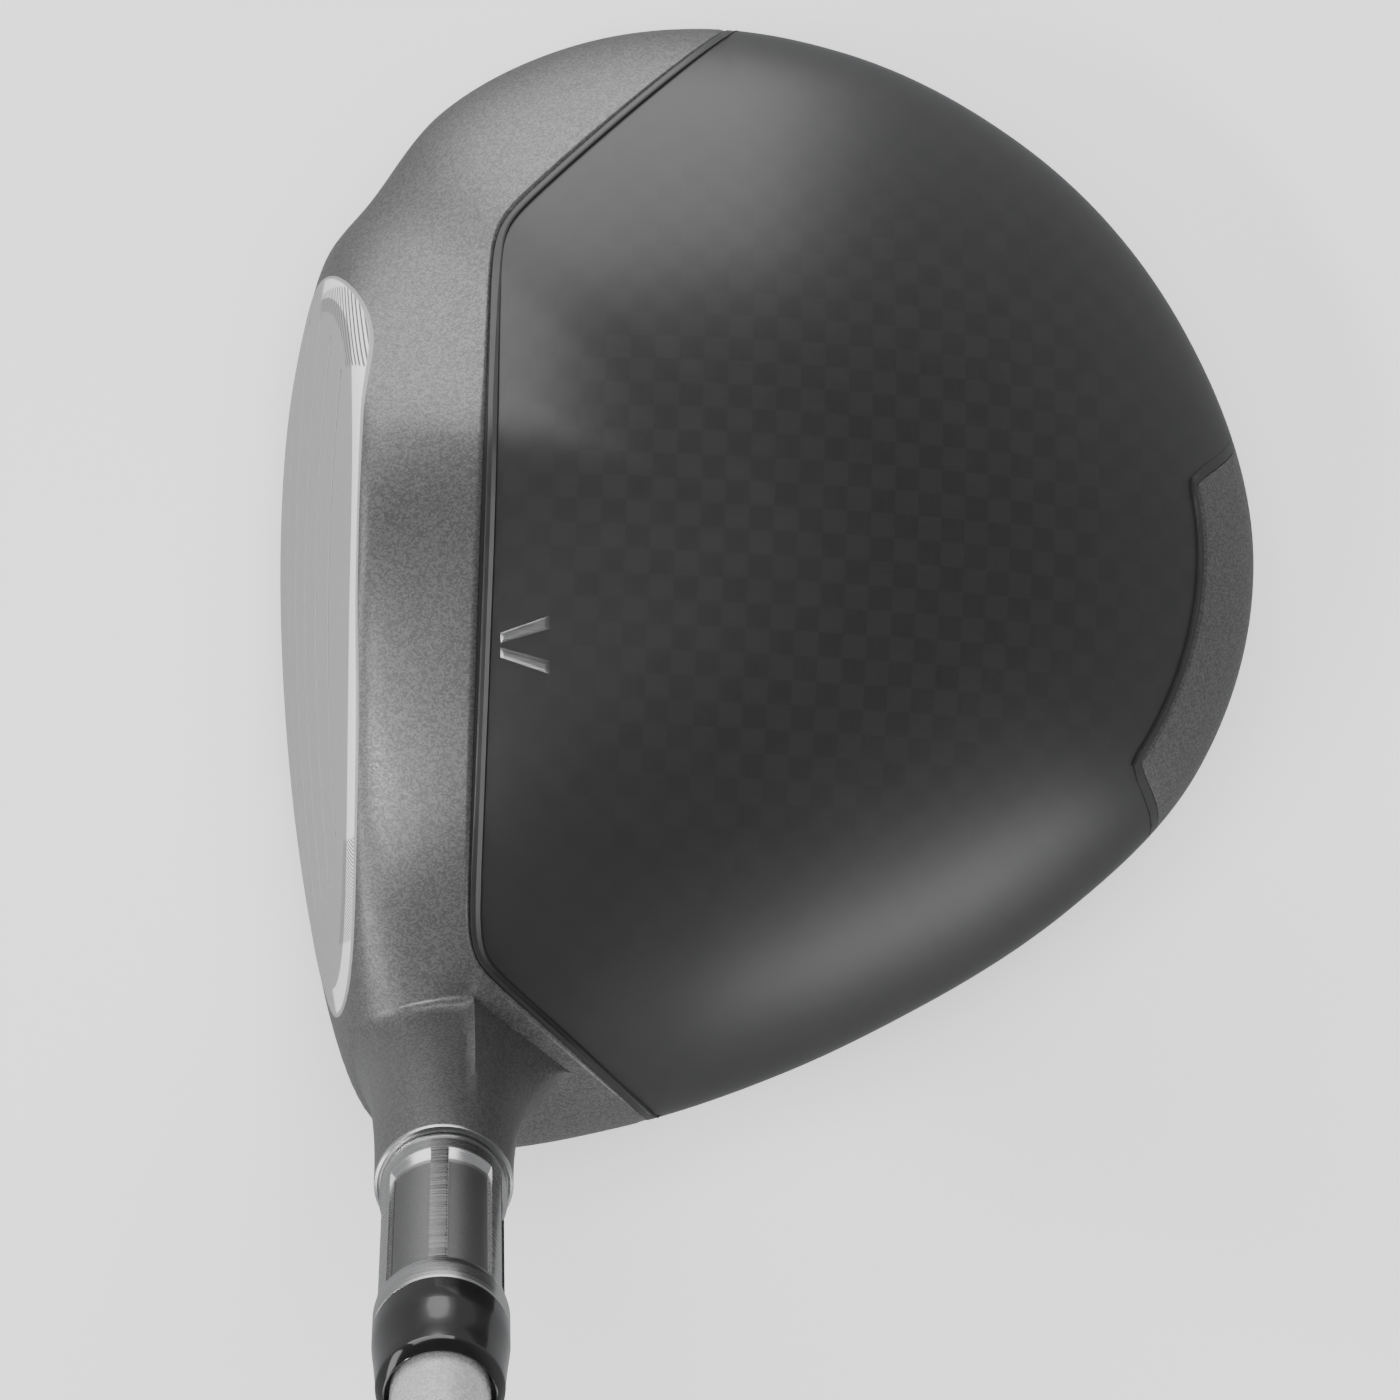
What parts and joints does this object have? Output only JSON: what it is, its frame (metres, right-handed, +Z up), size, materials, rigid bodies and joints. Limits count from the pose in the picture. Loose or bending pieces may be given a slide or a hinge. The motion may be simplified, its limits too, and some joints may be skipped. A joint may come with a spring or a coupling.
{
  "type": "golf driver",
  "caption": "Right-handed golf driver with a hollow bonded-panel head, an adjustable hosel sleeve, a slim tapered shaft and a ribbed rubber grip.",
  "frame": {"origin": "centre of the flat badge under the head that the sole rests on at address", "axes": "+Z up from the ground, +X rearwards away from the target, +Y from heel to toe; the shaft rises towards -Y"},
  "size_m": [0.1135, 0.7091, 0.9963],
  "materials": {
    "body_paint": "matte metallic grey",
    "crown_carbon": "satin woven carbon",
    "bond": "black bond",
    "sole_carbon": "woven carbon",
    "plate_carbon": "moulded carbon layers",
    "face_cover": "satin film",
    "housing_paint": "matte metallic grey",
    "weight_metal": "turned",
    "screw_steel": "turned",
    "slot_rubber": "soft plastic",
    "badge_metal": "brushed",
    "mark_silver": "satin silver",
    "sleeve_metal": "turned with blasted windows",
    "o_ring_rubber": "smooth",
    "ferrule_gloss": "polished",
    "shaft_paint": "gloss silver",
    "plug_cork": "cork",
    "tape": "paper tape",
    "grip_rubber": "textured rubber"
  },
  "bodies": {
    "head": {"titanium_body": "body_paint", "crown_panel": "crown_carbon", "crown_bond": "bond", "sole_panel": "sole_carbon", "sole_bond": "bond", "face_plate": "plate_carbon", "face_cover": "face_cover", "rear_housing": "housing_paint", "sole_slot_insert": "slot_rubber", "sole_badge": "badge_metal", "alignment_mark": "mark_silver", "hosel_screw_washer": "screw_steel"},
    "sleeve_seal": {"sleeve_o_ring": "o_ring_rubber"},
    "club_shaft": {"loft_sleeve": "sleeve_metal", "ferrule": "ferrule_gloss", "shaft": "shaft_paint", "tip_plug": "plug_cork", "grip_tape": "tape", "grip": "grip_rubber"},
    "clamp_screw": {"hosel_screw": "screw_steel"},
    "back_weight": {"rear_weight": "weight_metal"},
    "back_weight_screw": {"rear_weight_screw": "screw_steel"}
  },
  "joints": [
    {"name": "sleeve_pull", "type": "slide", "parent": "head", "child": "sleeve_seal", "axis": [0, -0.5, 0.866], "range_m": [0, 0.04]},
    {"name": "loft_index", "type": "hinge", "parent": "sleeve_seal", "child": "club_shaft", "pos_m": [-0.0378, -0.0695, 0.065], "axis": [0, -0.5, 0.866], "continuous": true},
    {"name": "hosel_screw_turn", "type": "hinge", "parent": "head", "child": "clamp_screw", "pos_m": [-0.0378, -0.0695, 0.065], "axis": [0, -0.5, 0.866], "continuous": true},
    {"name": "weight_out", "type": "slide", "parent": "head", "child": "back_weight", "axis": [0.5575, -0.1291, -0.8201], "range_m": [0, 0.012]},
    {"name": "weight_screw_turn", "type": "hinge", "parent": "back_weight", "child": "back_weight_screw", "pos_m": [0.04136, -0.00729, 0.01368], "axis": [0.5575, -0.1291, -0.8201], "range_deg": [0, 5400]}
  ],
  "couplings": [
    {"joint": "weight_screw_turn", "follows": "weight_out", "rad_per_m": 7854}
  ]
}
